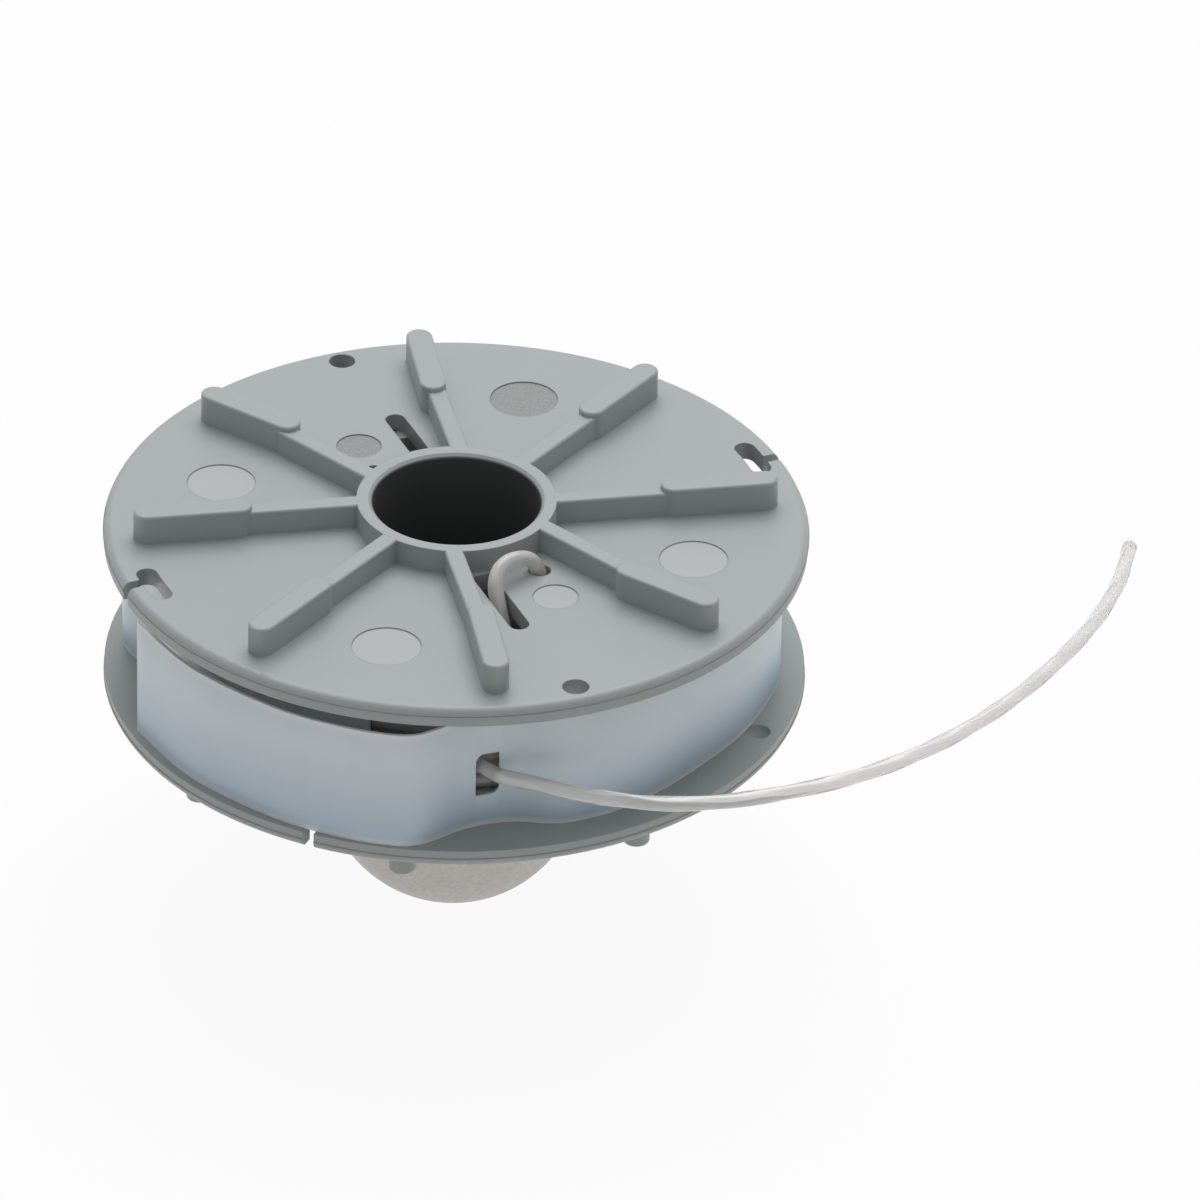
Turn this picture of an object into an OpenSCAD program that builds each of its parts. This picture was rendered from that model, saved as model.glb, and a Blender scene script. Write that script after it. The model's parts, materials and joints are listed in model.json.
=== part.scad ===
// Trimmer line spool: ribbed moulded spool, wound line, retaining band and metal ground cap
// The origin is on the bore's axis, halfway between the flanges, and +Z is the ribbed upper face

/* [Flanges] */
// Diameter of both flanges
flange_d = 90; // [86:0.5:96]
// Thickness of a flange
flange_t = 2.4; // [2:0.1:3]
// Space between the flanges for the line
winding_w = 18.6; // [18.4:0.1:20]
// Rounding of the outer edge of a flange
rim_round = 1; // [0.5:0.1:1.2]

/* [Hub] */
// Diameter of the bore for the drive shaft
bore_d = 21.5; // [19:0.1:22]
// Outer diameter of the hub and its collars
collar_d = 25.6; // [25:0.1:26.2]
// Height of a collar above its flange
collar_h = 3.3; // [2.5:0.1:3.6]
// Chamfer round the mouth of the bore
lip = 0.5; // [0.2:0.1:0.8]
// Diameter of the drum that the line is wound on
drum_d = 54; // [52:0.5:55]
// Wall thickness of the drum
drum_wall = 2; // [1.5:0.1:2.5]

/* [Ribs] */
// Width of a rib between the collar and its tab
rib_w = 2.4; // [1.8:0.1:2.8]
// Width of the raised tab at the outer end of a rib
tab_w = 3.4; // [2.8:0.1:3.8]
// Height of a tab above its flange
tab_h = 4; // [3.8:0.1:5]
// Distance from the axis to the inner end of a tab
tab_from = 26.2; // [25.5:0.1:28]
// Distance from the axis to the outer end of a tab
tab_to = 41.4; // [38:0.1:42]
// Rounding of the top edges of ribs and tabs
rib_round = 0.35; // [0.2:0.05:0.5]

/* [Line] */
// Diameter of the cutting line
line_d = 2; // [1.6:0.1:2]
// Number of layers of line on the drum
line_layers = 5; // [3:1:5]

/* [Retaining band] */
// Width of the strip
band_w = 16.5; // [12:0.1:17]
// Thickness of the strip
band_t = 0.5; // [0.3:0.05:0.6]
// Width of the slot that the line leaves by
exit_slot_w = 3; // [2.6:0.1:3.4]
// Height of the slot that the line leaves by
exit_slot_h = 6.1; // [5:0.1:8]

/* [Ground cap] */
// Outer diameter of the metal cap
cap_d = 33.8; // [33:0.1:35]
// Thickness of the metal
cap_wall = 1.2; // [0.8:0.1:1.5]
// Length of the straight part of the cap above its dome
cap_skirt = 11.6; // [8:0.1:14]

/* [Hidden] */
$fn = 96;
eps = 0.01;
flange_r = flange_d / 2;
bore_r = bore_d / 2;
collar_r = collar_d / 2;
drum_r = drum_d / 2;
pocket_r = drum_r - drum_wall;
line_r = line_d / 2;
cap_r = cap_d / 2;
gap_z = winding_w / 2;
face_z = gap_z + flange_t;
seat_z = face_z + collar_h;
plastic = [0.62, 0.65, 0.64];
nylon = [0.92, 0.92, 0.9];
milky = [0.78, 0.85, 0.92];
metal = [0.66, 0.64, 0.61];

// Ribs: they start at this angle, and stand beside their radius and not on it
rib_count = 8;
rib_turn = 10;
rib_start = 11.9;
tab_side = -1.2;
// Sideways place of each rib of one half turn, at the collar and at the tab
rib_side_in = [-1.3, -1.3, -2.3, 1.75];
rib_side_out = [-1.3, -1.3, -1.5, -0.5];

// Openings in a flange, each there twice, half a turn apart
slot_w = 2.6;
slot_from = [3.4, -13];
slot_to = [8.4, -24.5];
anchor_hole_d = 2.9;
anchor_hole_at = [10.8, -11.6];
rim_hole_d = 3.4;
rim_hole_at = [42, 112];
notch_w = 2.7;
notch_r = 41.5;
notch_from = 20.5;
notch_to = 27.5;
notch_mouth = 22.9;
notch_mouth_w = 1.5;
ejector_depth = 0.15;
ejector_large = [31.4, 75, 8.8];
ejector_small = [22, 126, 5.8];

// Hole in the drum wall that the inner end of the line goes through
drum_hole_d = 2.6;
drum_hole_z = 4.2;
drum_hole_turn = -71;

// Ridge that the mould's parting line leaves round a rim
parting_drop = 1.15;
parting_size = [0.1, 0.2];

// Neck under the lower collar that the cap is pressed on
neck_wall = 2.4;
neck_gap = 0.05;
neck_l = cap_skirt - 1;

// Seen from above, the strip runs from its outer end to its inner end by these angles and radii
band_route = [
    [205, 43.9], [222, 43.75], [240, 43.9], [252, 44.2], [260, 44.4], [264.5, 44], [268, 42.3],
    [271.5, 40.3], [276, 38.9], [280, 38.5], [284, 38.8], [288.5, 40], [293, 40.6], [302, 40.6],
    [312, 40], [323, 39.6], [335, 40.2], [348, 41], [360, 41.4], [390, 41.8], [420, 42], [450, 42.2],
    [480, 42.4], [510, 42.6], [530, 42.7], [537, 42.5], [541, 41.2], [545, 39.6], [552, 38.7],
    [570, 38.5], [590, 38.5], [615, 38.5]
];
band_steps = 5;
exit_slot_turn = 277.2;
exit_slot_z = -1.75;
exit_slot_round = 1.2;

// Line from the turns to the slot in the band, then the free line beyond it
exit_route = [
    [-6, -35.4, -1.2], [-3, -35.5, -1.2], [-0.4, -35.6, -1.2], [1.4, -35.8, -1.2], [2.8, -36.3, -1.2],
    [3.8, -37.3, -1.2]
];
free_route = [
    [3.8, -37.3, -1.2], [5.9, -39.4, -1.2], [7.7, -40.7, -1], [10.6, -42, -0.8], [15, -43.6, -0.8],
    [20.4, -44.9, -1], [26, -45.4, -1.2], [31.6, -45.2, -1.2], [37.6, -43.9, -1.2],
    [43.4, -41.9, -1.2], [49, -39.4, -1.2], [54.2, -36.3, -1.2], [59.4, -32.3, -1.2],
    [64.4, -27.4, -1.3], [69.2, -21.8, -1.3], [73.6, -15.6, -1.4], [77.5, -9.2, -1.4],
    [80.8, -2.8, -1.5], [83.6, 4, -1.5], [85.7, 11.2, -1.6], [87, 18.6, -1.6]
];
// Line from the drum up through a slot, over and down through the anchor hole
anchor_route = [
    [9.4, -27.3, 4.2], [8.8, -25.6, 4.2], [8.2, -23.9, 4.2], [7.6, -22.3, 5], [7, -21, 6.7],
    [6.3, -19.8, 8.8], [5.7, -18.6, 10.9], [5.3, -17.3, 12.7], [5.6, -15.9, 13.9], [6.6, -14.5, 14.5], [8.2, -13.2, 14.4],
    [9.6, -12.2, 13.6], [10.5, -11.7, 12], [10.8, -11.6, 10], [10.8, -11.6, 6.5], [10.8, -11.6, 3.5]
];
anchor_side = [-0.76, 0.65, 0];
line_sides = 8;

// Geometry of a line swept along points
function unit(v) = v / norm(v);
function heading(pts, i) = unit(pts[min(i + 1, len(pts) - 1)] - pts[max(i - 1, 0)]);
function ring(at, along, side, r) = [
    let (u = unit(cross(along, side)), v = cross(u, along))
    for (k = [0 : line_sides - 1])
        at + r * (cos(360 * k / line_sides) * u + sin(360 * k / line_sides) * v)
];

module line_along(pts, side = [0, 0, 1]) {
    n = line_sides;
    last = len(pts) - 1;
    rings = [for (i = [0 : last]) each ring(pts[i], heading(pts, i), side, line_r)];
    walls = [for (i = [0 : last - 1], k = [0 : n - 1])
        each let (a = i * n + k, b = i * n + (k + 1) % n) [[a, b, b + n], [a, b + n, a + n]]];
    ends = [[for (k = [n - 1 : -1 : 0]) k], [for (k = [0 : n - 1]) last * n + k]];
    polyhedron(rings, concat(walls, ends), convexity = 4);
}

// Smooth curve through the band's route, as plan points
function polar(p) = p[1] * [cos(p[0]), sin(p[0])];
function knot(i) = polar(band_route[max(0, min(i, len(band_route) - 1))]);
function blend(a, b, c, d, t) =
    0.5 * (2 * b + (c - a) * t + (2 * a - 5 * b + 4 * c - d) * t * t + (3 * b - a - 3 * c + d) * t * t * t);
band_line = [
    for (i = [0 : len(band_route) - 2], s = [0 : band_steps - 1])
        blend(knot(i - 1), knot(i), knot(i + 1), knot(i + 2), s / band_steps),
    knot(len(band_route) - 1)
];
function plan_side(i) = let (h = heading(band_line, i)) [h[1], -h[0]] * band_t / 2;

// Everything that a flange has twice, half a turn apart
module twice() {
    for (turn = [0, 180]) rotate([0, 0, turn]) children();
}

// Cross-section of a rib with rounded top edges, and the same for one half of it
module rib_section(w, h) {
    translate([-w / 2, 0]) square([w, h - rib_round]);
    translate([rib_round - w / 2, 0]) square([w - 2 * rib_round, h]);
    for (side = [-1, 1]) translate([side * (w / 2 - rib_round), h - rib_round]) circle(rib_round);
}

module rib_bar(l, w, h) {
    rotate([90, 0, 90]) linear_extrude(l) rib_section(w, h);
}

module rib_end(w, h) {
    rotate_extrude() intersection() {
        rib_section(w, h);
        square([w, h]);
    }
}

// A raised tab with round ends, along X
module tab() {
    run = tab_to - tab_from - tab_w;
    translate([tab_from + tab_w / 2, tab_side, 0]) {
        rib_bar(run, tab_w, tab_h);
        for (x = [0, run]) translate([x, 0, 0]) rib_end(tab_w, tab_h);
    }
}

// A rib from the collar to its tab, standing on the plane that is depth below the face
module rib(kind, depth) {
    y0 = rib_side_in[kind];
    y1 = rib_side_out[kind];
    run = tab_from + tab_w / 2 - rib_start;
    translate([rib_start, y0, -depth])
        rotate([0, 0, atan2(y1 - y0, run)]) rib_bar(norm([run, y1 - y0]), rib_w, collar_h + depth);
}

// Ribs and tabs of one face
module rib_star(depth) {
    for (k = [0 : rib_count - 1]) rotate([0, 0, rib_turn + 360 / rib_count * k]) {
        tab();
        rib(k % len(rib_side_in), depth);
    }
}

// Section of a flange: its outer edge is rounded and has the parting ridge
module flange_section(inner_r) {
    translate([inner_r, 0]) square([flange_r - rim_round - inner_r, flange_t]);
    translate([inner_r, 0]) square([flange_r - inner_r, flange_t - rim_round]);
    translate([flange_r - rim_round, flange_t - rim_round]) circle(rim_round);
    translate([flange_r - rim_round, flange_t - parting_drop - parting_size[1] / 2])
        square([rim_round + parting_size[0], parting_size[1]]);
}

// Slot that runs from the collar towards the rim
module hub_slot() {
    run = slot_to - slot_from;
    translate([slot_from[0], slot_from[1], -flange_t - eps]) rotate([0, 0, atan2(run[1], run[0])]) {
        translate([0, -slot_w / 2, 0]) cube([norm(run), slot_w, flange_t + 2 * eps]);
        translate([norm(run), 0, 0]) cylinder(d = slot_w, h = flange_t + 2 * eps);
    }
}

// Hooked notch in the rim that parks the end of the line
module park_notch() {
    h = flange_t + 2 * eps;
    translate([0, 0, -flange_t - eps]) {
        rotate([0, 0, notch_from]) rotate_extrude(angle = notch_to - notch_from)
            translate([notch_r - notch_w / 2, 0]) square([notch_w, h]);
        for (turn = [notch_from, notch_to]) rotate([0, 0, turn]) translate([notch_r, 0, 0])
            cylinder(d = notch_w, h = h);
        rotate([0, 0, notch_mouth]) translate([notch_r, -notch_mouth_w / 2, 0])
            cube([flange_r - notch_r + 1, notch_mouth_w, h]);
    }
}

// Shallow round mark of an ejector pin, given as radius, angle and diameter
module ejector_mark(mark) {
    rotate([0, 0, mark[1]]) translate([mark[0], 0, -ejector_depth]) cylinder(d = mark[2], h = 1);
}

// Openings and marks near the rim of either face
module rim_cuts() {
    twice() {
        park_notch();
        rotate([0, 0, rim_hole_at[1]]) translate([rim_hole_at[0], 0, -flange_t - eps])
            cylinder(d = rim_hole_d, h = flange_t + 2 * eps);
        for (turn = [0, 90]) rotate([0, 0, turn]) ejector_mark(ejector_large);
    }
}

// Openings and marks between the collar and the drum, in the upper face only
module hub_cuts() {
    twice() {
        difference() {
            hub_slot();
            translate([0, 0, -flange_t]) cylinder(r = collar_r, h = flange_t + 1);
        }
        translate([anchor_hole_at[0], anchor_hole_at[1], -flange_t - eps])
            cylinder(d = anchor_hole_d, h = flange_t + 2 * eps);
        ejector_mark(ejector_small);
    }
}

// Turns the lower face over, and by a quarter turn, from the upper one
module lower_side() {
    rotate([0, 0, 90]) rotate([180, 0, 0]) children();
}

// Hub tube with its two collars, the neck for the cap, and the shoulder that joins them
module hub() {
    neck_r = cap_r - cap_wall - neck_gap;
    translate([0, 0, -seat_z]) cylinder(r = collar_r, h = 2 * seat_z);
    translate([0, 0, -seat_z]) cylinder(r = neck_r, h = neck_wall);
    difference() {
        translate([0, 0, -seat_z - neck_l]) cylinder(r = neck_r, h = neck_l + eps);
        translate([0, 0, -seat_z - neck_l - eps]) cylinder(r = neck_r - neck_wall, h = neck_l + eps);
    }
}

module drum() {
    difference() {
        translate([0, 0, -gap_z - eps]) cylinder(r = drum_r, h = winding_w + 2 * eps);
        translate([0, 0, -gap_z - 1]) cylinder(r = pocket_r, h = winding_w + 2);
        rotate([0, 0, drum_hole_turn]) translate([pocket_r - 1, 0, drum_hole_z]) rotate([0, 90, 0])
            cylinder(d = drum_hole_d, h = drum_wall + 2);
    }
}

module spool() {
    color(plastic) difference() {
        union() {
            translate([0, 0, gap_z]) rotate_extrude() flange_section(bore_r);
            lower_side() translate([0, 0, gap_z]) rotate_extrude() flange_section(pocket_r);
            translate([0, 0, face_z]) rib_star(0);
            lower_side() translate([0, 0, face_z]) intersection() {
                rib_star(face_z + gap_z);
                union() {
                    cylinder(r = flange_r, h = tab_h + 1);
                    translate([0, 0, -face_z - gap_z]) cylinder(r = pocket_r + 1, h = face_z + gap_z + 1);
                }
            }
            hub();
            drum();
        }
        translate([0, 0, -seat_z - 1]) cylinder(r = bore_r, h = 2 * seat_z + 2);
        translate([0, 0, seat_z - lip]) cylinder(r1 = bore_r, r2 = bore_r + lip + eps, h = lip + eps);
        translate([0, 0, face_z]) {
            rim_cuts();
            hub_cuts();
        }
        lower_side() translate([0, 0, face_z]) rim_cuts();
    }
}

// Turns of line, packed in layers between the flanges, with the two runs that leave them
module wound_line() {
    per_layer = floor(winding_w / line_d);
    color(nylon) {
        rotate_extrude() {
            for (layer = [0 : line_layers - 1], turn = [0 : per_layer - 1])
                translate([drum_r + line_r + layer * line_d, (turn - (per_layer - 1) / 2) * line_d])
                    circle(line_r);
            translate([drum_r, -(per_layer - 1) * line_r])
                square([(line_layers - 0.5) * line_d, (per_layer - 1) * line_d]);
        }
        line_along(anchor_route, anchor_side);
        line_along(exit_route);
    }
}

// Outline of the exit slot: two opposite corners are round
module exit_slot_outline() {
    w = exit_slot_w / 2;
    h = exit_slot_h / 2;
    c = exit_slot_round;
    difference() {
        square([2 * w, 2 * h], center = true);
        for (turn = [0, 180]) rotate(turn) translate([-w, h]) square(2 * c, center = true);
    }
    for (turn = [0, 180]) rotate(turn) translate([c - w, h - c]) circle(c);
}

module retaining_band() {
    last = len(band_line) - 1;
    color(milky) difference() {
        translate([0, 0, -gap_z]) linear_extrude(band_w) polygon(concat(
            [for (i = [0 : last]) band_line[i] + plan_side(i)],
            [for (i = [last : -1 : 0]) band_line[i] - plan_side(i)]));
        rotate([0, 0, exit_slot_turn]) translate([drum_r + 2, 0, exit_slot_z])
            rotate([90, 0, 90]) linear_extrude(flange_r - drum_r) exit_slot_outline();
    }
}

// Half outline of a cup with a round bottom, as deep as the straight part above its dome
module cup_outline(r, straight) {
    square([r, straight]);
    intersection() {
        circle(r);
        translate([0, -r]) square(r + eps);
    }
}

module ground_cap() {
    color(metal) translate([0, 0, -seat_z - cap_skirt]) rotate_extrude() difference() {
        cup_outline(cap_r, cap_skirt);
        cup_outline(cap_r - cap_wall, cap_skirt + 1);
    }
}

module free_line() {
    color(nylon) line_along(free_route);
}

spool();
wound_line();
retaining_band();
ground_cap();
free_line();
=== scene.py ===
"""Looks of a trimmer line spool: finishes, wound line, retaining band, free line end and a plain studio."""

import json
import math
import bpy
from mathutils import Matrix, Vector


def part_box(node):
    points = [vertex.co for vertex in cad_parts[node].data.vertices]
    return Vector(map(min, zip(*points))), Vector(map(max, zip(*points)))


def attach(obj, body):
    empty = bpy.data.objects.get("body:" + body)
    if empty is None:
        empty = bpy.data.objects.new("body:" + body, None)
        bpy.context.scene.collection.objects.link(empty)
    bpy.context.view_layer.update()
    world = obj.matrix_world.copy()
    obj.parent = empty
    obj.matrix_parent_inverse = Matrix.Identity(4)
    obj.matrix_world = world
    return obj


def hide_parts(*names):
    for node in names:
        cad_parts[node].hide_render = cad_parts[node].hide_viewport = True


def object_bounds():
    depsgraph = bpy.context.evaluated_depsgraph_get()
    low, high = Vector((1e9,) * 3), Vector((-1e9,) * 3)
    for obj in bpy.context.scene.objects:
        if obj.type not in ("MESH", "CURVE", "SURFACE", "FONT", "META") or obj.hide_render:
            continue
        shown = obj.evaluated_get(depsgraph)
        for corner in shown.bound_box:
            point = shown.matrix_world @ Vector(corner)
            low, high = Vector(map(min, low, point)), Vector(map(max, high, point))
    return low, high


bl_info = {
    "name": "Trimmer line spool",
    "version": (1, 0, 0),
    "blender": (4, 5, 0),
    "location": "3D View > Sidebar > Spool",
    "description": "Builds the finishes, line and retaining band of a trimmer line spool, and its studio",
    "category": "Object",
}

import bmesh
import bpy
from bpy.props import FloatProperty, FloatVectorProperty, IntProperty, PointerProperty
from bpy.types import Operator, Panel, PropertyGroup
from mathutils import Matrix, Vector

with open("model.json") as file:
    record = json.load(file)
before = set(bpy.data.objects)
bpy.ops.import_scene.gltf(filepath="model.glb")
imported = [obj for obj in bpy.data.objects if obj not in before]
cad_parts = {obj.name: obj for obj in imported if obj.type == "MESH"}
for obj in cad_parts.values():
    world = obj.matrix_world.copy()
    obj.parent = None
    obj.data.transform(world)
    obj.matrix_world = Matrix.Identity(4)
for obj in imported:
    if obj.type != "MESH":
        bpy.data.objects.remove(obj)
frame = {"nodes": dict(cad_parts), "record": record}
cad_low, cad_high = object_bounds()

BODY = "root"
MM = 0.001

# Line from the outer turns to the slot in the band, and the free line beyond it, in metres
EXIT_ROUTE = [
    (-0.006, -0.0354, -0.0012), (-0.003, -0.0355, -0.0012), (-0.0004, -0.0356, -0.0012),
    (0.0014, -0.0358, -0.0012), (0.0028, -0.0363, -0.0012), (0.0038, -0.0373, -0.0012),
]
FREE_ROUTE = [
    (0.0038, -0.0373, -0.0012), (0.0059, -0.0394, -0.0012), (0.0077, -0.0407, -0.001),
    (0.0106, -0.042, -0.0008), (0.015, -0.0436, -0.0008), (0.0204, -0.0449, -0.001),
    (0.026, -0.0454, -0.0012), (0.0316, -0.0452, -0.0012), (0.0376, -0.0439, -0.0012),
    (0.0434, -0.0419, -0.0012), (0.049, -0.0394, -0.0012), (0.0542, -0.0363, -0.0012),
    (0.0594, -0.0323, -0.0012), (0.0644, -0.0274, -0.0013), (0.0692, -0.0218, -0.0013),
    (0.0736, -0.0156, -0.0014), (0.0775, -0.0092, -0.0014), (0.0808, -0.0028, -0.0015),
    (0.0836, 0.004, -0.0015), (0.0857, 0.0112, -0.0016), (0.087, 0.0186, -0.0016),
]
# Line from the drum up through a slot, over, and down through the anchor hole
ANCHOR_ROUTE = [
    (0.0094, -0.0273, 0.0042), (0.0088, -0.0256, 0.0042), (0.0082, -0.0239, 0.0042),
    (0.0076, -0.0223, 0.005), (0.007, -0.021, 0.0067), (0.0063, -0.0198, 0.0088),
    (0.0057, -0.0186, 0.0109), (0.0053, -0.0173, 0.0127), (0.0056, -0.0159, 0.0139),
    (0.0066, -0.0145, 0.0145), (0.0082, -0.0132, 0.0144), (0.0096, -0.0122, 0.0136),
    (0.0105, -0.0117, 0.012), (0.0108, -0.0116, 0.01), (0.0108, -0.0116, 0.0065),
    (0.0108, -0.0116, 0.0035),
]


# Settings

class SpoolSettings(PropertyGroup):
    """Finish of the moulded spool."""

    colour: FloatVectorProperty(
        name="Plastic", description="Colour of the moulded plastic",
        subtype="COLOR", size=3, default=(0.35, 0.385, 0.38), min=0, max=1)
    mark_light: FloatProperty(
        name="Light marks", description="How much lighter the smooth ejector marks are", default=0.16)
    mark_dark: FloatProperty(
        name="Rough marks", description="How much darker the rough ejector marks are", default=0.55)
    # Painted shade: how far the wall of the bore is darkened in its colour, standing in for the shade inside it.
    painted_bore_shade: FloatProperty(
        name="Bore shade", description="How much darker the wall of the bore is", default=0.8)
    edge_radius: FloatProperty(
        name="Edge rounding", description="Softening of the moulded edges",
        default=0.25 * MM, unit="LENGTH")


class LineSettings(PropertyGroup):
    """Cutting line, on the drum and free."""

    diameter: FloatProperty(
        name="Diameter", description="Thickness of the cutting line", default=2 * MM, unit="LENGTH")
    layers: IntProperty(name="Layers", description="Layers of line on the drum", default=5, min=1)
    turns: IntProperty(name="Turns", description="Turns of line in a layer", default=8, min=1)
    flatness: FloatProperty(
        name="Flatness", description="How square the section of the free line is", default=0.35)
    twist: FloatProperty(
        name="Twist", description="Turn of the square section along the line, per metre",
        default=math.radians(9000), subtype="ANGLE")
    colour: FloatVectorProperty(
        name="Nylon", description="Colour of the clear nylon",
        subtype="COLOR", size=3, default=(0.9, 0.89, 0.865), min=0, max=1)


class BandSettings(PropertyGroup):
    """Milky plastic strip round the line."""

    colour: FloatVectorProperty(
        name="Film", description="Colour of the milky plastic",
        subtype="COLOR", size=3, default=(0.88, 0.95, 0.98), min=0, max=1)
    # Painted shade: the darker colour that the film is given towards its lower edge.
    painted_foot_shade: FloatVectorProperty(
        name="Film at the foot", description="Colour of the milky plastic near its lower edge",
        subtype="COLOR", size=3, default=(0.56, 0.68, 0.79), min=0, max=1)
    # Painted highlight: the paler colour, and the width, of the zone along the upper and lower cut edges.
    painted_highlight_colour: FloatVectorProperty(
        name="Cut edge", description="Colour of the film near its cut edges",
        subtype="COLOR", size=3, default=(0.97, 0.98, 1.0), min=0, max=1)
    painted_edge_highlight: FloatProperty(
        name="Edge glow", description="Width of the pale zone along a cut edge",
        default=1.1 * MM, unit="LENGTH")
    clearness: FloatProperty(
        name="Clearness", description="Share of light that passes through the film", default=0.18)


class CapSettings(PropertyGroup):
    """Domed metal cap under the spool."""

    colour: FloatVectorProperty(
        name="Metal", description="Colour of the dull metal",
        subtype="COLOR", size=3, default=(0.74, 0.7, 0.67), min=0, max=1)
    speckle: FloatProperty(name="Speckle", description="Strength of the speckles", default=0.35)


class StageSettings(PropertyGroup):
    """Camera, light and floor."""

    distance: FloatProperty(
        name="Camera distance", description="From the camera to the point it looks at",
        default=1.537873, unit="LENGTH")
    elevation: FloatProperty(
        name="Elevation", description="Height angle of the camera",
        default=math.radians(32.055), subtype="ANGLE")
    roll: FloatProperty(
        name="Roll", description="Turn of the camera about its line of sight",
        default=math.radians(1.206), subtype="ANGLE")
    target: FloatVectorProperty(
        name="Target", description="Point in the middle of the picture",
        size=3, default=(0.018539, 0, 0.000172), subtype="TRANSLATION", unit="LENGTH")
    lens: FloatProperty(name="Lens", description="Focal length on a 36 mm frame", default=360)
    key_power: FloatProperty(
        name="Key light", description="Power of the soft light above", default=5.8, unit="POWER")
    key_size: FloatProperty(
        name="Key size", description="Width of the soft light above", default=0.9, unit="LENGTH")
    key_place: FloatVectorProperty(
        name="Key place", description="Place of the soft light, above and behind the spool",
        size=3, default=(0.05, 0.35, 0.8), subtype="TRANSLATION", unit="LENGTH")
    sky: FloatProperty(name="Sky", description="Brightness of the light from all round", default=0.38)
    floor_colour: FloatVectorProperty(
        name="Floor", description="Colour of the floor",
        subtype="COLOR", size=3, default=(0.88, 0.88, 0.87), min=0, max=1)
    floor_white: FloatProperty(
        name="Floor white", description="Share of plain white in the floor as the camera sees it",
        default=0.92, min=0, max=1)


class TrimmerSpool(PropertyGroup):
    """All settings of the part and its stage."""

    spool: PointerProperty(type=SpoolSettings)
    line: PointerProperty(type=LineSettings)
    band: PointerProperty(type=BandSettings)
    cap: PointerProperty(type=CapSettings)
    stage: PointerProperty(type=StageSettings)


# Node helpers

def add_node(tree, kind, label="", **values):
    """Adds a node and sets its properties, such as an operation."""
    made = tree.nodes.new(kind)
    made.label = label
    for name, value in values.items():
        setattr(made, name, value)
    return made


def feed(tree, node, **inputs):
    """Sets or links inputs by name, where an underscore stands for a space."""
    for name, value in inputs.items():
        socket = node.inputs[int(name[1:])] if name[0] == "i" and name[1:].isdigit() else \
            node.inputs[name.replace("_", " ")]
        if isinstance(value, bpy.types.NodeSocket):
            tree.links.new(value, socket)
        else:
            socket.default_value = value
    return node


def math_node(tree, operation, a, b=0.0, clamp=False):
    """One step of arithmetic on two values."""
    made = add_node(tree, "ShaderNodeMath", operation=operation, use_clamp=clamp)
    return feed(tree, made, i0=a, i1=b).outputs[0]


def mixed(tree, share, a, b, blend="MIX"):
    """Mix of two colours."""
    made = add_node(tree, "ShaderNodeMix", data_type="RGBA", blend_type=blend)
    feed(tree, made, i0=share, i6=a, i7=b)
    return made.outputs[2]


def ranged(tree, value, low, high, to_low=0.0, to_high=1.0):
    """Value carried smoothly from one range to another."""
    made = add_node(tree, "ShaderNodeMapRange", interpolation_type="SMOOTHSTEP")
    feed(tree, made, Value=value, From_Min=low, From_Max=high, To_Min=to_low, To_Max=to_high)
    return made.outputs[0]


def four(colour):
    """Colour with its alpha, as a shader socket wants it."""
    return (*colour, 1.0)


def new_group(name, inputs, outputs):
    """Empty node group with the named sockets, as (tree, inputs node, outputs node)."""
    tree = bpy.data.node_groups.new(name, "ShaderNodeTree")
    for title, kind, default in inputs:
        socket = tree.interface.new_socket(title, in_out="INPUT", socket_type=kind)
        if default is not None:
            socket.default_value = default
    for title, kind in outputs:
        tree.interface.new_socket(title, in_out="OUTPUT", socket_type=kind)
    return tree, tree.nodes.new("NodeGroupInput"), tree.nodes.new("NodeGroupOutput")


def use_group(tree, name, **inputs):
    """Places a node group in a material and feeds its inputs."""
    made = add_node(tree, "ShaderNodeGroup", node_tree=bpy.data.node_groups[name])
    return feed(tree, made, **inputs)


def new_material(name):
    """Material with one shader, as (material, tree, shader)."""
    material = bpy.data.materials.new(name)
    material.use_nodes = True
    tree = material.node_tree
    return material, tree, tree.nodes["Principled BSDF"]


def place(tree):
    """Point on the piece, in metres."""
    return add_node(tree, "ShaderNodeTexCoord").outputs["Object"]


def bump(tree, height, depth, normal=None):
    """Normal of a relief that is depth metres high."""
    made = add_node(tree, "ShaderNodeBump")
    feed(tree, made, Strength=1.0, Distance=depth, Height=height)
    if normal is not None:
        feed(tree, made, Normal=normal)
    return made.outputs["Normal"]


# Shared effects

def make_grain_group():
    """Cloudy and fine variation of a moulded or rolled surface: two masks and a height."""
    tree, given, out = new_group(
        "grain",
        [("Point", "NodeSocketVector", None), ("Cloud Size", "NodeSocketFloat", 0.01),
         ("Grain Size", "NodeSocketFloat", 0.0005), ("Contrast", "NodeSocketFloat", 1.0)],
        [("Cloud", "NodeSocketFloat"), ("Grain", "NodeSocketFloat"), ("Height", "NodeSocketFloat")])
    masks = []
    for size in ("Cloud Size", "Grain Size"):
        noise = add_node(tree, "ShaderNodeTexNoise", size)
        scale = math_node(tree, "DIVIDE", 1.0, given.outputs[size])
        feed(tree, noise, Vector=given.outputs["Point"], Scale=scale, Detail=3.0, Roughness=0.55)
        centred = math_node(tree, "SUBTRACT", noise.outputs[0], 0.5)
        stretched = math_node(tree, "MULTIPLY", centred, given.outputs["Contrast"])
        masks.append(math_node(tree, "ADD", stretched, 0.5, clamp=True))
    feed(tree, out, Cloud=masks[0], Grain=masks[1])
    coarse = math_node(tree, "MULTIPLY", masks[0], 0.3)
    feed(tree, out, Height=math_node(tree, "ADD", coarse, masks[1]))


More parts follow.
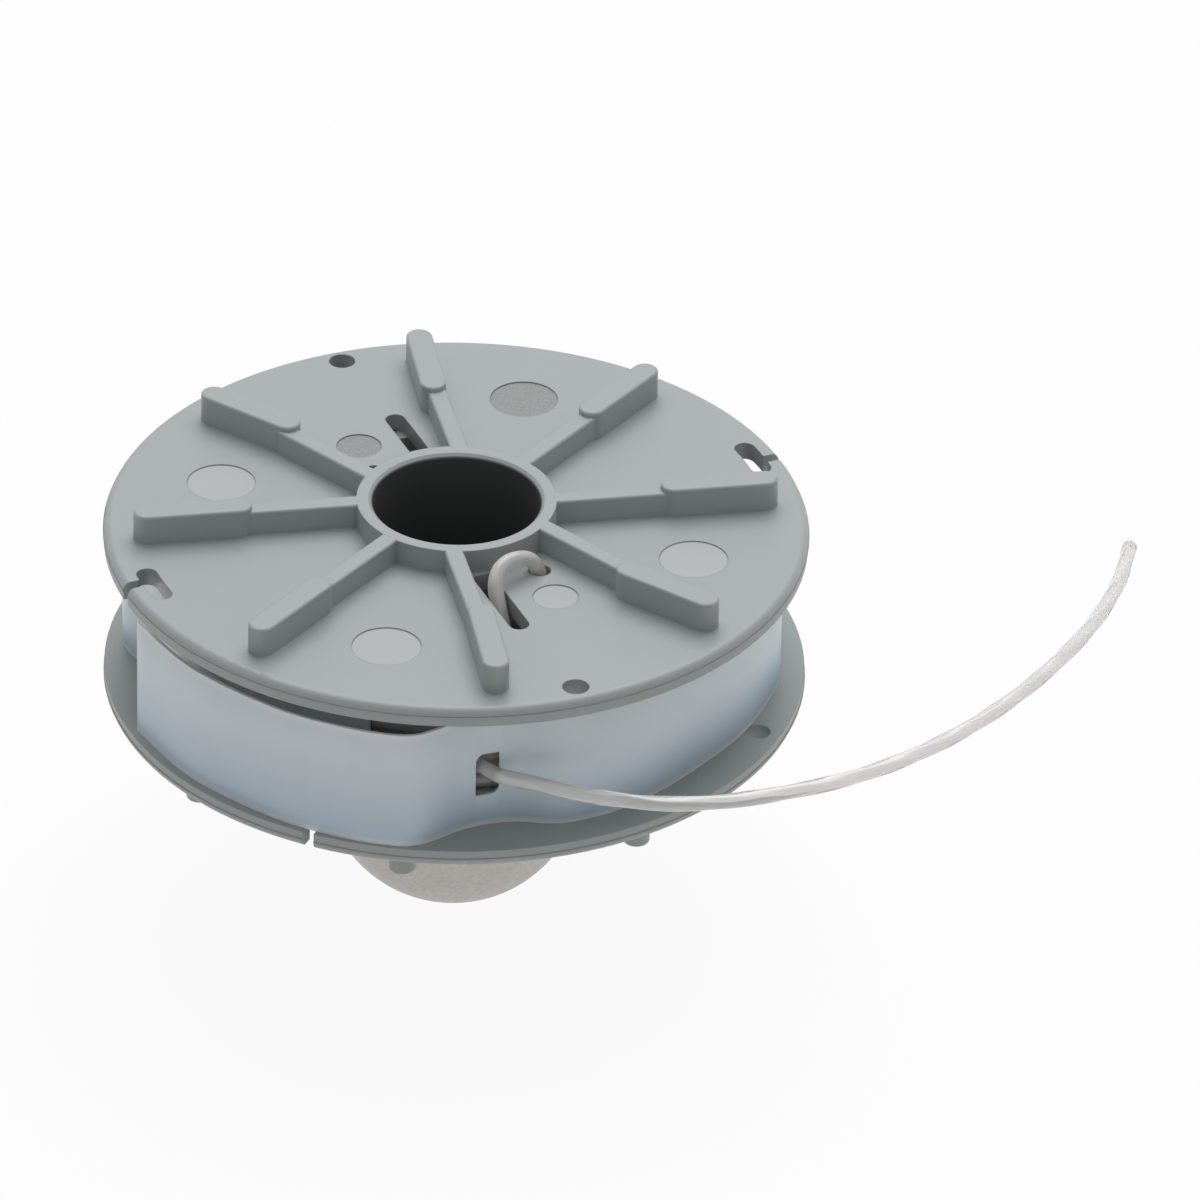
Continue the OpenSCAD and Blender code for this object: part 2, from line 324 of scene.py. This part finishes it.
def make_disc_group():
    """Mask of a round mark about an axis that is parallel to Z, above a given height."""
    tree, given, out = new_group(
        "disc",
        [("Point", "NodeSocketVector", None), ("Centre", "NodeSocketVector", None),
         ("Radius", "NodeSocketFloat", 0.004), ("Above", "NodeSocketFloat", 0.0)],
        [("Mask", "NodeSocketFloat")])
    offset = add_node(tree, "ShaderNodeVectorMath", operation="SUBTRACT")
    feed(tree, offset, i0=given.outputs["Point"], i1=given.outputs["Centre"])
    apart = add_node(tree, "ShaderNodeSeparateXYZ")
    feed(tree, apart, Vector=offset.outputs[0])
    squares = [math_node(tree, "POWER", apart.outputs[i], 2.0) for i in range(2)]
    distance = math_node(tree, "SQRT", math_node(tree, "ADD", *squares))
    past = math_node(tree, "SUBTRACT", given.outputs["Radius"], distance)
    inside = ranged(tree, past, -0.05 * MM, 0.05 * MM)
    over = math_node(tree, "GREATER_THAN", apart.outputs[2], given.outputs["Above"])
    feed(tree, out, Mask=math_node(tree, "MULTIPLY", inside, over))


# Mesh helpers

def new_piece(name, bm, material, smooth_angle=35):
    """Object of a finished bmesh, shaded smooth up to an angle, that rides on the part."""
    for face in bm.faces:
        face.smooth = True
    limit = math.radians(smooth_angle)
    for edge in bm.edges:
        edge.smooth = len(edge.link_faces) == 2 and edge.calc_face_angle(0.0) < limit
    mesh = bpy.data.meshes.new(name)
    bm.to_mesh(mesh)
    bm.free()
    mesh.materials.append(material)
    piece = bpy.data.objects.new(name, mesh)
    bpy.context.scene.collection.objects.link(piece)
    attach(piece, BODY)
    return piece


def dress(node, material):
    """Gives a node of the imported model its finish."""
    mesh = frame["nodes"][node].data
    mesh.materials.clear()
    mesh.materials.append(material)


def smooth_route(points, steps):
    """Curve through the points that leaves each one in the direction of its neighbours."""
    knots = [Vector(p) for p in points]
    knots = [2 * knots[0] - knots[1]] + knots + [2 * knots[-1] - knots[-2]]
    curve = []
    for a, b, c, d in zip(knots, knots[1:], knots[2:], knots[3:]):
        for step in range(steps):
            t = step / steps
            curve.append(0.5 * (2 * b + (c - a) * t + (2 * a - 5 * b + 4 * c - d) * t * t
                                + (3 * b - a - 3 * c + d) * t ** 3))
    return curve + [knots[-2]]


def section_frames(points, side):
    """Matrix at each point that carries a section from the XY plane across the route."""
    frames = []
    last = len(points) - 1
    across = Vector(side)
    for i, point in enumerate(points):
        along = (points[min(i + 1, last)] - points[max(i - 1, 0)]).normalized()
        across = (across - across.dot(along) * along).normalized()
        turned = Matrix((across, along.cross(across), along)).transposed().to_4x4()
        frames.append(Matrix.Translation(point) @ turned)
    return frames


def swept_line(points, radius, sides, flatness=0.0, twist=0.0, side=(0, 0, 1)):
    """Tube along a route, with a section between round and square that turns about the route."""
    bm = bmesh.new()
    ring = bmesh.ops.create_circle(bm, cap_ends=True, radius=radius, segments=sides)["verts"]
    for vert in ring:
        angle = math.atan2(vert.co.y, vert.co.x)
        vert.co *= 1 - flatness * 0.5 * (1 - math.cos(4 * angle)) * (1 - 1 / math.sqrt(2))
    frames = section_frames(points, side)
    bmesh.ops.transform(bm, matrix=frames[0], verts=ring)
    edges = list(bm.edges)
    for before, after in zip(frames, frames[1:]):
        turn = twist * (after.translation - before.translation).length
        grown = bmesh.ops.extrude_edge_only(bm, edges=edges)["geom"]
        ring = [item for item in grown if isinstance(item, bmesh.types.BMVert)]
        edges = [item for item in grown if isinstance(item, bmesh.types.BMEdge)]
        step = after @ Matrix.Rotation(turn, 4, "Z") @ before.inverted()
        bmesh.ops.transform(bm, matrix=step, verts=ring)
    bmesh.ops.contextual_create(bm, geom=edges)
    bmesh.ops.recalc_face_normals(bm, faces=bm.faces)
    return bm


def wound_route(line, outer_radius, half_width):
    """Centre of the line on the drum: layer over layer, back and forth between the flanges."""
    steps = 72
    climb = 0.15
    reach = half_width - line.diameter / 2
    inner = outer_radius - (line.layers - 0.5) * line.diameter
    route = []
    for layer in range(line.layers):
        way = 1 if layer % 2 == 0 else -1
        count = line.turns * steps
        for step in range(count):
            turns = step / steps
            left = line.turns - turns
            rise = max(0.0, 1 - left / climb) if layer < line.layers - 1 else 0.0
            radius = inner + (layer + rise) * line.diameter
            angle = 2 * math.pi * turns
            height = way * reach * (2 * step / count - 1)
            route.append(Vector((radius * math.cos(angle), radius * math.sin(angle), height)))
    return route


def merged_copy(node):
    """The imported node's surface with its loose triangles joined, ready to be shaped."""
    bm = bmesh.new()
    bm.from_mesh(frame["nodes"][node].data)
    bmesh.ops.remove_doubles(bm, verts=bm.verts, dist=0.002 * MM)
    return bm


# Materials

def plastic_material(settings):
    """Grey moulded plastic, satin and a little cloudy, with smooth and rough ejector marks; painted shade in the
    bore.
    """
    material, tree, shader = new_material("moulded_plastic")
    point = place(tree)
    grain = use_group(tree, "grain", Point=point, Cloud_Size=14 * MM, Grain_Size=0.35 * MM)
    face_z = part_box("spool")[1].z - 4 * MM
    marks = {"light": [], "dark": []}
    for kind, radius, angle, size in (
            ("light", 31.4, 165, 4.4), ("light", 31.4, 255, 4.4), ("light", 31.4, 345, 4.4),
            ("dark", 31.4, 75, 4.4), ("light", 22, 306, 2.9), ("dark", 22, 126, 2.9)):
        turn = math.radians(angle)
        centre = (radius * MM * math.cos(turn), radius * MM * math.sin(turn), 0.0)
        disc = use_group(tree, "disc", Point=point, Centre=centre, Radius=size * MM,
                         Above=face_z - 1 * MM)
        marks[kind].append(disc.outputs["Mask"])
    light, dark = (marks[kind][0] for kind in ("light", "dark"))
    for mask in marks["light"][1:]:
        light = math_node(tree, "MAXIMUM", light, mask)
    for mask in marks["dark"][1:]:
        dark = math_node(tree, "MAXIMUM", dark, mask)
    cloudy = mixed(tree, math_node(tree, "MULTIPLY", grain.outputs["Cloud"], 0.16),
                   four(settings.colour), four([0.8 * c for c in settings.colour]))
    fine = mixed(tree, math_node(tree, "MULTIPLY", grain.outputs["Grain"], 0.1),
                 cloudy, four([1.25 * c for c in settings.colour]))
    pale = mixed(tree, math_node(tree, "MULTIPLY", light, settings.mark_light),
                 fine, (0.75, 0.74, 0.77, 1))
    rough = math_node(tree, "MULTIPLY", dark, grain.outputs["Grain"])
    final = mixed(tree, math_node(tree, "MULTIPLY", rough, 2 * settings.mark_dark),
                  pale, four([0.45 * c for c in settings.colour]))
    # Painted shade: the wall of the bore is darkened in its colour, standing in for the shade inside it.
    painted_bore_mask = use_group(tree, "disc", Point=point, Radius=frame["record"]["mounts"][0]["dims"]["r_mm"] * MM + 0.15 * MM,
                     Above=-1.0)
    final = mixed(tree, math_node(tree, "MULTIPLY", painted_bore_mask.outputs["Mask"], settings.painted_bore_shade),
                  final, (0.01, 0.01, 0.01, 1))
    soft = add_node(tree, "ShaderNodeBevel", samples=4)
    feed(tree, soft, Radius=settings.edge_radius)
    feed(tree, shader, Base_Color=final, Roughness=0.42, IOR=1.5,
         Normal=bump(tree, grain.outputs["Height"], 0.012 * MM, soft.outputs[0]))
    return material


def nylon_material(settings):
    """Semi-clear nylon: glossy and slightly grey, a little greyer in cloudy patches."""
    material, tree, shader = new_material("clear_nylon")
    grain = use_group(tree, "grain", Point=place(tree), Cloud_Size=3 * MM, Grain_Size=0.4 * MM)
    tone = mixed(tree, math_node(tree, "MULTIPLY", grain.outputs["Cloud"], 0.25),
                 four(settings.colour), four([0.75 * c for c in settings.colour]))
    feed(tree, shader, Base_Color=tone, Roughness=0.12, IOR=1.53, Transmission_Weight=0.6,
         Normal=bump(tree, grain.outputs["Height"], 0.01 * MM))
    return material


def film_material(settings):
    """Milky film: bluish and see-through, with a painted highlight along its upper and lower cut edges and painted
    shade towards its foot.
    """
    material, tree, shader = new_material("milky_film")
    point = place(tree)
    low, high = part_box("retaining_band")
    grain = use_group(tree, "grain", Point=point, Cloud_Size=9 * MM, Grain_Size=0.8 * MM)
    apart = add_node(tree, "ShaderNodeSeparateXYZ")
    feed(tree, apart, Vector=point)
    height = apart.outputs[2]
    below_top = math_node(tree, "SUBTRACT", high.z, height)
    above_foot = math_node(tree, "SUBTRACT", height, low.z)
    nearest = math_node(tree, "MINIMUM", below_top, above_foot)
    # Painted highlight: the film is made paler near its upper and lower edges, standing in for light caught by the
    # cut edges.
    edge_highlight_mask = ranged(tree, nearest, 0.0, settings.painted_edge_highlight, 1.0, 0.0)
    # Painted shade: the film is made darker towards its foot, from its own colour down to the foot colour.
    foot_shade_blend = mixed(tree, ranged(tree, above_foot, 0.0, 0.8 * (high.z - low.z)),
                  four(settings.painted_foot_shade), four(settings.colour))
    body = mixed(tree, math_node(tree, "MULTIPLY", grain.outputs["Cloud"], 0.25),
                 foot_shade_blend, four(settings.painted_foot_shade))
    colour = mixed(tree, edge_highlight_mask, body, four(settings.painted_highlight_colour))
    feed(tree, shader, Base_Color=colour, Roughness=0.38, IOR=1.45,
         Transmission_Weight=settings.clearness,
         Normal=bump(tree, grain.outputs["Height"], 0.01 * MM))
    return material


def metal_material(settings):
    """Dull drawn metal with fine dark and pale speckles."""
    material, tree, shader = new_material("dull_metal")
    point = place(tree)
    grain = use_group(tree, "grain", Point=point, Cloud_Size=5 * MM, Grain_Size=0.6 * MM, Contrast=2.2)
    dark = mixed(tree, math_node(tree, "MULTIPLY", grain.outputs["Grain"], settings.speckle),
                 four(settings.colour), four([0.62 * c for c in settings.colour]))
    warm = mixed(tree, math_node(tree, "MULTIPLY", grain.outputs["Cloud"], 0.3), dark, (0.5, 0.45, 0.4, 1))
    feed(tree, shader, Base_Color=warm, Metallic=0.35, IOR=1.5,
         Roughness=ranged(tree, grain.outputs["Grain"], 0.0, 1.0, 0.42, 0.6),
         Normal=bump(tree, grain.outputs["Height"], 0.02 * MM))
    return material


# Operators

class TRIMMER_OT_stage(Operator):
    """Make the camera, the floor and the soft studio light"""

    bl_idname = "trimmer.stage"
    bl_label = "Stage"

    def execute(self, context):
        settings = context.scene.trimmer_spool.stage
        self.add_camera(context, settings)
        self.add_floor(context, settings)
        self.add_light(context, settings)
        context.scene.view_settings.view_transform = "Standard"
        return {"FINISHED"}

    def add_camera(self, context, settings):
        """Camera at the elevation of the reference view, rolled about its line of sight."""
        back = Vector((0, -math.cos(settings.elevation), math.sin(settings.elevation)))
        right = Vector((1, 0, 0))
        upright = Matrix((right, back.cross(right), back)).transposed().to_4x4()
        camera = bpy.data.objects.new("camera", bpy.data.cameras.new("camera"))
        camera.data.sensor_width = 36
        camera.data.lens = settings.lens
        place_at = Matrix.Translation(Vector(settings.target) + settings.distance * back)
        camera.matrix_world = place_at @ upright @ Matrix.Rotation(settings.roll, 4, "Z")
        context.scene.collection.objects.link(camera)
        context.scene.camera = camera

    def add_floor(self, context, settings):
        """Round pale floor under the cap, which seems white to the camera and keeps its shadow."""
        bm = bmesh.new()
        bmesh.ops.create_circle(bm, cap_ends=True, radius=4, segments=96)
        bmesh.ops.translate(bm, verts=bm.verts, vec=(0, 0, cad_low.z))
        mesh = bpy.data.meshes.new("floor")
        bm.to_mesh(mesh)
        bm.free()
        floor = bpy.data.objects.new("floor", mesh)
        context.scene.collection.objects.link(floor)
        material, tree, shader = new_material("floor_white")
        feed(tree, shader, Base_Color=four(settings.floor_colour), Roughness=0.9)
        white = add_node(tree, "ShaderNodeEmission")
        seen = background_rays(tree)
        mix = add_node(tree, "ShaderNodeMixShader")
        share = math_node(tree, "MULTIPLY", seen, settings.floor_white)
        feed(tree, mix, Fac=share, i1=shader.outputs[0], i2=white.outputs[0])
        feed(tree, tree.nodes["Material Output"], Surface=mix.outputs[0])
        mesh.materials.append(material)

    def add_light(self, context, settings):
        """Soft key light above and behind, and an even sky."""
        lamp = bpy.data.lights.new("key_light", "AREA")
        lamp.shape = "DISK"
        lamp.size = settings.key_size
        lamp.energy = settings.key_power
        key = bpy.data.objects.new("key_light", lamp)
        key.location = settings.key_place
        key.rotation_euler = (-key.location).to_track_quat("-Z", "Y").to_euler()
        context.scene.collection.objects.link(key)
        world = bpy.data.worlds.new("sky")
        context.scene.world = world
        world.use_nodes = True
        tree = world.node_tree
        seen = background_rays(tree)
        strength = ranged(tree, seen, 0.0, 1.0, settings.sky, 1.0)
        feed(tree, tree.nodes["Background"], Color=(1, 1, 1, 1), Strength=strength)


def background_rays(tree):
    """1 for a ray that the camera, a gloss or a clear material sends to the background."""
    path = add_node(tree, "ShaderNodeLightPath")
    seen = math_node(tree, "ADD", path.outputs["Is Camera Ray"], path.outputs["Is Glossy Ray"], clamp=True)
    return math_node(tree, "ADD", seen, path.outputs["Is Transmission Ray"], clamp=True)


class TRIMMER_OT_free_line(Operator):
    """Make the free end of the line, which springs out of the slot in the band"""

    bl_idname = "trimmer.free_line"
    bl_label = "Free line"

    def execute(self, context):
        line = context.scene.trimmer_spool.line
        material = bpy.data.materials.get("clear_nylon") or nylon_material(line)
        route = smooth_route(FREE_ROUTE, 14)
        bm = swept_line(route, line.diameter / 2, 20, line.flatness, line.twist)
        free = new_piece("free_end", bm, material, 80)
        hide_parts("free_line")
        return {"FINISHED"}


class TRIMMER_OT_wound_line(Operator):
    """Make the turns of line on the drum, their anchor loop and the run to the slot"""

    bl_idname = "trimmer.wound_line"
    bl_label = "Wound line"

    def execute(self, context):
        line = context.scene.trimmer_spool.line
        material = bpy.data.materials.get("clear_nylon") or nylon_material(line)
        radius = line.diameter / 2
        low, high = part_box("spool")
        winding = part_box("wound_line")
        route = wound_route(line, winding[1].x, min(winding[1].z, 9 * MM))
        turns = new_piece("wound_turns", swept_line(route, radius, 10), material, 80)
        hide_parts("wound_line")
        for name, points in (("anchor_loop", ANCHOR_ROUTE), ("exit_run", EXIT_ROUTE)):
            run = new_piece(name, swept_line(smooth_route(points, 8), radius, 24), material, 80)
        return {"FINISHED"}


class TRIMMER_OT_band(Operator):
    """Make the milky band round the line, with softened edges"""

    bl_idname = "trimmer.band"
    bl_label = "Retaining band"

    def execute(self, context):
        settings = context.scene.trimmer_spool.band
        bm = merged_copy("retaining_band")
        bmesh.ops.dissolve_limit(bm, angle_limit=math.radians(0.3), verts=bm.verts, edges=bm.edges)
        sharp = [edge for edge in bm.edges if edge.calc_face_angle(0.0) > math.radians(50)]
        bmesh.ops.bevel(bm, geom=sharp, offset=0.1 * MM, offset_type="OFFSET", segments=2,
                        profile=0.5, affect="EDGES", clamp_overlap=True, material=-1)
        band = new_piece("milky_band", bm, film_material(settings), 45)
        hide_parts("retaining_band")
        return {"FINISHED"}


class TRIMMER_OT_finishes(Operator):
    """Give the moulded spool and the metal cap their finishes"""

    bl_idname = "trimmer.finishes"
    bl_label = "Spool and cap finishes"

    def execute(self, context):
        settings = context.scene.trimmer_spool
        dress("spool", plastic_material(settings.spool))
        dress("ground_cap", metal_material(settings.cap))
        return {"FINISHED"}


class TRIMMER_PT_panel(Panel):
    """Lists the steps that build the part and its stage"""

    bl_label = "Trimmer line spool"
    bl_idname = "TRIMMER_PT_panel"
    bl_space_type = "VIEW_3D"
    bl_region_type = "UI"
    bl_category = "Spool"

    def draw(self, context):
        settings = context.scene.trimmer_spool
        for operator, group in STEPS:
            self.layout.operator(operator.bl_idname)
            for name in getattr(settings, group).__annotations__:
                self.layout.prop(getattr(settings, group), name)


STEPS = [
    (TRIMMER_OT_stage, "stage"),
    (TRIMMER_OT_free_line, "line"),
    (TRIMMER_OT_wound_line, "line"),
    (TRIMMER_OT_band, "band"),
    (TRIMMER_OT_finishes, "spool"),
]
CLASSES = [
    SpoolSettings, LineSettings, BandSettings, CapSettings, StageSettings, TrimmerSpool,
    *[operator for operator, _ in STEPS], TRIMMER_PT_panel,
]


def register():
    """Registers the settings, operators and panel."""
    for item in CLASSES:
        bpy.utils.register_class(item)
    bpy.types.Scene.trimmer_spool = PointerProperty(type=TrimmerSpool)


def unregister():
    """Removes what register added."""
    del bpy.types.Scene.trimmer_spool
    for item in reversed(CLASSES):
        bpy.utils.unregister_class(item)


def main():
    """Builds the stage and every piece."""
    register()
    make_grain_group()
    make_disc_group()
    bpy.ops.trimmer.stage()
    bpy.ops.trimmer.free_line()
    bpy.ops.trimmer.wound_line()
    bpy.ops.trimmer.band()
    bpy.ops.trimmer.finishes()


if __name__ == "__main__":
    main()
